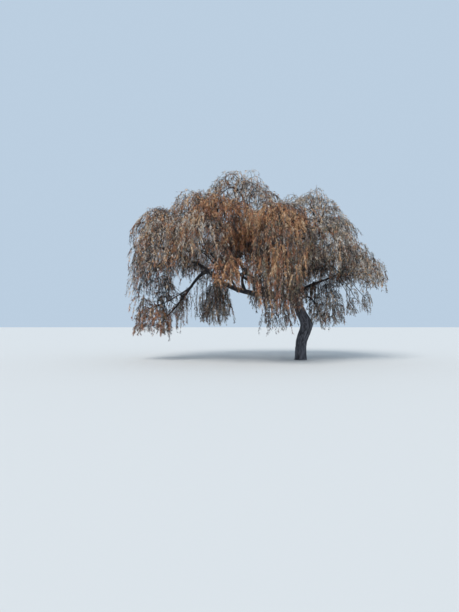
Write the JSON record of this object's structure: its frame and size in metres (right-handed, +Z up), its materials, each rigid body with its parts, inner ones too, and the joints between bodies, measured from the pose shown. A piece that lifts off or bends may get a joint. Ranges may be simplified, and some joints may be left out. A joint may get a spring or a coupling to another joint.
{
  "type": "weeping willow tree",
  "caption": "Weeping tree in late autumn: a leaning, kinked trunk, arching boughs and hanging masses of foliage round the open space under the crown.",
  "frame": {"origin": "middle of the flat cut under the trunk, at ground level", "axes": "+Z up, +X along the longer side of the crown and away from the long low limb, -Y towards the viewer of the picture"},
  "size_m": [11.5671, 8.4901, 8.78],
  "materials": {
    "bark": "matte",
    "foliage": "matte"
  },
  "bodies": {
    "root": {"trunk": "bark", "bough_left_inner": "bark", "bough_centre": "bark", "bough_right": "bark", "bough_right_outer": "bark", "bough_right_low": "bark", "bough_front_low": "bark", "bough_front": "bark", "bough_back": "bark", "bough_front_left": "bark", "bough_front_mid": "bark", "bough_back_left": "bark", "bough_riser": "bark", "bough_left_high": "bark", "bough_left_outer": "bark", "bough_left_fork": "bark", "foliage_top_left": "foliage", "foliage_top_right": "foliage", "foliage_top_saddle": "foliage", "foliage_shoulder_left": "foliage", "foliage_shoulder_far_left": "foliage", "foliage_shoulder_right": "foliage", "foliage_upper_front": "foliage", "foliage_upper_back": "foliage", "foliage_upper_front_left": "foliage", "foliage_upper_back_left": "foliage", "foliage_curtain_far_left": "foliage", "foliage_low_far_left": "foliage", "foliage_curtain_left_front": "foliage", "foliage_curtain_front_left": "foliage", "foliage_curtain_front": "foliage", "foliage_curtain_front_right": "foliage", "foliage_curtain_right_front": "foliage", "foliage_curtain_right": "foliage", "foliage_tip_right": "foliage", "foliage_curtain_right_back": "foliage", "foliage_curtain_back_right": "foliage", "foliage_curtain_back": "foliage", "foliage_curtain_back_left": "foliage", "foliage_curtain_left_back": "foliage", "foliage_tail_left": "foliage", "foliage_tail_middle": "foliage", "foliage_tail_right": "foliage", "foliage_strand_right": "foliage", "foliage_strand_far_right": "foliage", "foliage_strand_left": "foliage"}
  },
  "joints": []
}
